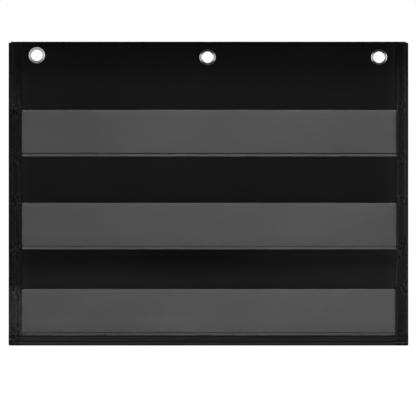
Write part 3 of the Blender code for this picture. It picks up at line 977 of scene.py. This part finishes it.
def bottomLevels(x):  # front and rear faces of the bottom tape, which laps over the side tapes
    clear, slope = tapeForm["slopeClear"], tapeForm["slope"]
    reachLeft = leftX + sideTape["width"] + clear
    reachRight = rightX - tapeWidth("right", lapEdge) - clear
    share = max(smooth((reachLeft + slope - x) / slope), smooth((x - reachRight + slope) / slope))
    front = tapeOnFilm + (lapFront - tapeOnFilm) * share
    return front, tapeBehindCloth + (lapRear - tapeBehindCloth) * share


def bottomShape():  # its lower corners are cut round
    width, corner = lapEdge - bottomZ, bottomTape["cornerLength"]
    fine = corner / bottomTape["cornerSteps"]
    stations = spaced(leftX, leftX + corner, fine)[:-1]
    stations += spaced(leftX + corner, rightX - corner, tapeForm["station"])
    stations += spaced(rightX - corner, rightX, fine)[1:]
    left, right = bottomTape["endRumples"]
    rumpled = [(left[0], leftX, left[1]), (right[0], rightX, right[1])]

    def section(x):
        return tapeSection(x, width, bottomLevels(x), bottomTape["seams"], rumpled)

    def place(x, inward, y):
        past = 1 - min(min(x - leftX, rightX - x) / corner, 1)
        drop = bottomTape["cornerCut"] * (1 - math.sqrt(max(0.0, 1 - past ** 2)))
        return hung(x, y, bottomZ + drop + inward * ((width - drop) / width))

    return {"stations": stations, "section": section, "place": place}


# each tape's stations, its section at a station, and the place of a point of that section
tapeShapes = {"left": sideShape("left"), "right": sideShape("right"), "bottom": bottomShape()}


def foldTape(name, node, side, material):
    shape = tapeShapes[side]
    stations = shape["stations"]
    paths = [tapePath(shape["section"](station)) for station in stations]
    rings = []
    for station, path in zip(stations, paths):
        rings.append([shape["place"](station, *point) for point in stripOutline(path, stack["tape"])])
    path = paths[len(paths) // 2]
    width = lengthsAlong(path)[-1]
    mesh = skinMesh(name, rings, stations, outlineLengths(path, width / 2))  # 0 is along the fold
    piece = settle(addPiece(name, mesh, material), "binding_tape", node)
    return piece, (width, stations[-1] - stations[0])


def tapeSeams(side, places):  # each row lies on the front and again on the rear
    shape = tapeShapes[side]
    sections = [shape["section"](place) for place in places]
    rows = []
    for number in range(len(sections[0]["seams"])):
        for index, face in enumerate((-1, 1)):
            row = []
            for place, section in zip(places, sections):
                inward = section["seams"][number]
                level = section["levels"][index] - face * section["press"](inward)
                row.append(shape["place"](place, inward, onFace(level, face, thread["tapeDiameter"])))
            rows.append((row, face))
    return rows


# nickel grommets
nickelLook = {
    "colour": {"left": (0.70, 0.695, 0.69), "middle": (0.88, 0.87, 0.85), "right": (0.90, 0.89, 0.87)},
    "roughness": {"left": (0.25, 0.40), "middle": (0.06, 0.21), "right": (0.07, 0.22)},
    "metallic": {"left": 0.5, "middle": 1.0, "right": 1.0},  # the left plating has gone dull
    "bore": (0.0026, 0.0033, 1.0, 0.35),  # painted shade: the flange darkens from its crown into the bore
    "foot": (-0.008, -0.002, 0.45, 1.0),  # painted shade on the lower part of the dull eyelet
    "marks": (1500, 3, (0.04, 0.04, 1)),  # fine rings from the press
    "markRelief": (0.00002, 0.5),
    "tarnish": (240, 4),
    "tarnishTone": (1.0, 0.86),
}


def nickelShader(tree, source, side):
    look, spot = nickelLook, split(tree, source["Object"])
    run = marked(tree, "run")
    ringwise = made(tree, "ShaderNodeCombineXYZ", {0: spot["X"], 1: spot["Z"], 2: run})
    marks = blotches(tree, ringwise, *look["marks"])
    tarnish = blotches(tree, source["Object"], *look["tarnish"])
    level = mapRange(tree, tarnish, 0.3, 0.75, *look["tarnishTone"])
    # painted shade from the crown into the bore
    level = times(tree, level, eased(tree, run, *look["bore"]))
    # painted shade on the lower part of the dull eyelet
    if look["metallic"][side] < 1:
        rise = calc(tree, "SUBTRACT", spot["Z"], grommetPlaces[side][1])
        level = times(tree, level, eased(tree, rise, *look["foot"]))
    return {
        "Base Color": scaled(tree, look["colour"][side], level),
        "Roughness": patchy(tree, marks, *look["roughness"][side]),
        "Metallic": look["metallic"][side],
        "Normal": relief(tree, marks, *look["markRelief"]),
    }


grommet = {
    "boreRadius": 0.0062,
    "flangeRadius": 0.0089,
    "metal": 0.0004,
    "flangeHeight": 0.0012,
    "crownShare": 0.52,
    "rollRadius": 0.0005,
    "washerRadius": 0.0087,
    "washerThickness": 0.0005,
    "washerRim": 0.0003,
    "washerCrestShare": 0.45,
    "segments": 96,
    "arcSteps": 9,
    "step": 0.0006,  # along the straight runs
    "sharpAngle": 50,
}


def eyeletOutline():
    half = grommet["metal"] / 2
    barrel = grommet["boreRadius"] + half
    rim = grommet["flangeRadius"] - half
    crown = barrel + (rim - barrel) * grommet["crownShare"]
    seat = clothFront - stack["seamGap"]
    dome = grommet["flangeHeight"] - half
    steps = grommet["arcSteps"]
    path = arc((crown, seat), (rim - crown, dome), 0, -90, steps)
    path += arc((crown, seat), (crown - barrel, dome), -90, -180, steps)[1:]
    rollY = hemRear + 2 * stack["seamGap"] + grommet["washerThickness"]
    path += [Vector((barrel, y)) for y in spaced(seat, rollY, grommet["step"])[1:-1]]
    roll = grommet["rollRadius"]
    path += arc((barrel + roll, rollY), (roll, roll), 180, 0, steps)
    return stripOutline(path, grommet["metal"]), outlineLengths(path)[:-1]


def washerOutline():
    hole, outer, steps = cloth["holeRadius"], grommet["washerRadius"], grommet["arcSteps"]
    seat = hemRear + stack["seamGap"]
    rimY = seat + grommet["washerRim"]
    crest = hole + (outer - hole) * grommet["washerCrestShare"]
    dome = grommet["washerThickness"] - grommet["washerRim"]
    outline = [Vector((radius, seat)) for radius in spaced(hole, outer, grommet["step"])]
    outline += arc((crest, rimY), (outer - crest, dome), 0, 90, steps)
    outline += arc((crest, rimY), (crest - hole, dome), 90, 180, steps)[1:]
    return outline, lengthsAlong(outline)


def buildLatheTree():
    # The profile is drawn as (radius past the bore, depth), and swept round a circle as wide as the bore.
    tree, source = newTree("turnedMetal", Radius="Float", Segments="Int", Centre="Vector")
    profile = made(tree, "GeometryNodeMeshToCurve", {"Mesh": source["Geometry"]})
    inputs = {"Resolution": source["Segments"], "Radius": source["Radius"]}
    circle = made(tree, "GeometryNodeCurvePrimitiveCircle", inputs)
    swept = made(tree, "GeometryNodeCurveToMesh", {"Curve": circle, "Profile Curve": profile})
    inputs = {"Geometry": swept, "Translation": source["Centre"], "Rotation": (math.pi / 2, 0, 0)}
    return endTree(tree, made(tree, "GeometryNodeTransform", inputs), source)  # the depth runs along +Y


def turnedPiece(name, node, centre, outline, runs, tree, material):
    points = [(point.x - grommet["boreRadius"], point.y, 0) for point in outline]
    edges = [(index, (index + 1) % len(points)) for index in range(len(points))]
    settings = {"Radius": grommet["boreRadius"], "Segments": grommet["segments"], "Material": material}
    settings["Centre"] = (centre[0], 0.0, centre[1])
    piece = growPiece(name, points, edges, ("run", runs), tree, settings, grommet["sharpAngle"])
    return settle(piece, "grommet_metal", node)


def buildGrommets():
    tree = buildLatheTree()
    eyelet, washer = eyeletOutline(), washerOutline()
    pieces = []
    for side, centre in grommetPlaces.items():
        material = makeMaterial("nickelPlate." + side, nickelShader, side)
        pieces.append(turnedPiece("eyelet." + side, "grommet_" + side, centre, *eyelet, tree, material))
        turnedPiece("washer." + side, "grommet_washer_" + side, centre, *washer, tree, material)
    return pieces


# build everything
clothMaterial = makeMaterial("blackCloth", clothShader)
filmMaterial = makeMaterial("clearFilm", filmShader)
tapeMaterials = {side: makeMaterial("blackTape." + side, tapeShader, side) for side in tapeLooks}
threadMaterial = makeMaterial("blackThread", threadShader)

eyelets = buildGrommets()
print("grommets turned")
clothPiece, clothFlat = buildCloth(clothMaterial)
print("cloth made, flat", [round(side, 4) for side in clothFlat])

leftTape, leftFlat = foldTape("sideTapeLeft", "side_binding_left", "left", tapeMaterials["left"])
rightTape, rightFlat = foldTape("sideTapeRight", "side_binding_right", "right", tapeMaterials["right"])
lowTape, lowFlat = foldTape("bottomTape", "bottom_binding", "bottom", tapeMaterials["bottom"])
print("tapes folded")

stitchTree = buildStitchTree()
seeds = itertools.count(thread["firstSeed"])  # each seam has its own
heights = wholePitches(lapEdge + thread["endRoom"], topZ - sideTape["endDrop"] - thread["endRoom"])
alongFoot = wholePitches(leftX + thread["sideRoom"], rightX - thread["sideRoom"])
seamRows = {
    "sideTapeLeftStitches": tapeSeams("left", heights),
    "sideTapeRightStitches": tapeSeams("right", heights),
    "bottomTapeStitches": tapeSeams("bottom", alongFoot),
    "hemStitches": hemSeams(),
}
for name, rows in seamRows.items():
    sewRows(name, rows, thread["tapeDiameter"], next(seeds), stitchTree, threadMaterial)

filmNames = ("pocketFilmTop", "pocketFilmMiddle", "pocketFilmBottom")
for name, node, phase in zip(filmNames, filmNodes, film["phases"]):
    edges = filmEdges(node, phase)
    piece, flat = buildFilm(name, node, edges, filmMaterial)
    rows, diameter = pocketSeams(edges), thread["pocketDiameter"]
    seam = sewRows(name + "Stitches", rows, diameter, next(seeds), stitchTree, threadMaterial)
print("films and seams made")


# floor, light and camera
studio = {
    "floorZ": -0.45,
    "floorSide": 24.0,
    "floorColour": (0.80, 0.80, 0.80),
    "whiteReach": (0.6, 2.2),  # how far out the floor turns to the background's white
    "around": 0.55,  # plain light from all sides
    "mirroredSides": 1.0,  # what metal and film mirror to the left and the right
    "mirroredRest": 0.03,
    "sideEdge": (0.30, 0.62),  # where the bright sides begin, by the X of the way there
    "heightEdge": (0.26, 0.52),  # and where they end, by its Z
}


def lightRays(tree):  # rays that show the background as it is, and mirrored rays
    path = addNode(tree, "ShaderNodeLightPath").outputs
    seen = calc(tree, "MAXIMUM", path["Is Camera Ray"], path["Is Transmission Ray"])
    return seen, path["Is Glossy Ray"]


def makeWorld():
    world = bpy.data.worlds.new("studio")
    bpy.context.scene.world = world
    world.use_nodes = True
    tree = world.node_tree
    seen, glossy = lightRays(tree)
    way = split(tree, addNode(tree, "ShaderNodeTexCoord").outputs["Generated"])
    level = eased(tree, calc(tree, "ABSOLUTE", way["Z"]), *studio["heightEdge"], 1.0, 0.0)
    bright = times(tree, level, eased(tree, calc(tree, "ABSOLUTE", way["X"]), *studio["sideEdge"]))
    mirrored = mapRange(tree, bright, 0.0, 1.0, studio["mirroredRest"], studio["mirroredSides"])
    plain = mix(tree, glossy, studio["around"], mirrored)
    feed(tree, tree.nodes["Background"], {"Color": (1, 1, 1, 1), "Strength": mix(tree, seen, plain, 1.0)})


def makeFloor():
    half = studio["floorSide"] / 2
    corners = [(-half, -half), (half, -half), (half, half), (-half, half)]
    mesh = newMesh("floor", [(x, y, studio["floorZ"]) for x, y in corners], faces=[(0, 1, 2, 3)])
    material = bpy.data.materials.new("paleFloor")
    material.use_nodes = True
    tree = material.node_tree
    tree.nodes.remove(tree.nodes["Principled BSDF"])
    seen = calc(tree, "MAXIMUM", *lightRays(tree))
    place = addNode(tree, "ShaderNodeTexCoord").outputs["Object"]
    level = made(tree, "ShaderNodeVectorMath", {0: place, 1: (1, 1, 0)}, operation="MULTIPLY")
    distance = addNode(tree, "ShaderNodeVectorMath", {0: level}, operation="LENGTH").outputs["Value"]
    white = times(tree, eased(tree, distance, *studio["whiteReach"]), seen)
    body = made(tree, "ShaderNodeBsdfDiffuse", {"Color": (*studio["floorColour"], 1)})
    lift = made(tree, "ShaderNodeEmission", {"Strength": times(tree, seen, 1 - studio["floorColour"][0])})
    near = made(tree, "ShaderNodeAddShader", {0: body, 1: lift})
    blank = made(tree, "ShaderNodeEmission", {"Strength": 1.0})
    mixed = made(tree, "ShaderNodeMixShader", {0: white, 1: near, 2: blank})
    feed(tree, tree.nodes["Material Output"], {"Surface": mixed})
    mesh.materials.append(material)
    floor = addObject("floor", mesh)
    floor.visible_glossy = False


lamps = {  # place, width, height and power of each soft lamp, all aimed at the chart
    "rightLamp": ((2.0, -1.4, 0.8), 1.2, 1.2, 30),
    "leftLamp": ((-1.6, -1.8, 0.6), 1.2, 1.2, 11),
    "rearLamp": ((-0.8, 2.0, 1.0), 1.4, 1.2, 44),
    "topLamp": ((0.2, 0.3, 2.2), 1.4, 1.4, 14),
}
lampAim = (0.0, 0.0, -0.15)


def makeLamps():
    for name, (place, width, height, power) in lamps.items():
        light = bpy.data.lights.new(name, "AREA")
        light.shape = "RECTANGLE"
        light.size, light.size_y = width, height
        light.energy = power
        lamp = addObject(name, light)
        lamp.location = place
        lamp.rotation_euler = (Vector(lampAim) - lamp.location).to_track_quat("-Z", "Y").to_euler()
        lamp.visible_glossy = False  # metal and film mirror only the world's bright sides
        lamp.visible_transmission = False


camera = {
    "pixel": 0.0010805,  # metres of the chart in one pixel of the square photo
    "frame": 416,
    "left": 8.65,  # pixels from the frame's left side to the chart
    "top": 41.70,  # pixels from the frame's top to the chart
    "distance": 6.0,
    "sensor": 36.0,
    "farthest": 60.0,
}


def makeCamera():
    data = bpy.data.cameras.new("camera")
    piece = addObject("camera", data)
    half = camera["frame"] / 2
    x = leftX + (half - camera["left"]) * camera["pixel"]
    z = topZ - (half - camera["top"]) * camera["pixel"]
    piece.location = (x, -camera["distance"], z)
    piece.rotation_euler = (math.pi / 2, 0, 0)
    data.sensor_width = camera["sensor"]
    data.lens = camera["sensor"] * camera["distance"] / (camera["frame"] * camera["pixel"])
    data.clip_end = camera["farthest"]
    bpy.context.scene.camera = piece


makeWorld()
makeFloor()
makeLamps()
makeCamera()
bpy.context.scene.view_settings.view_transform = "Standard"
print("studio set")
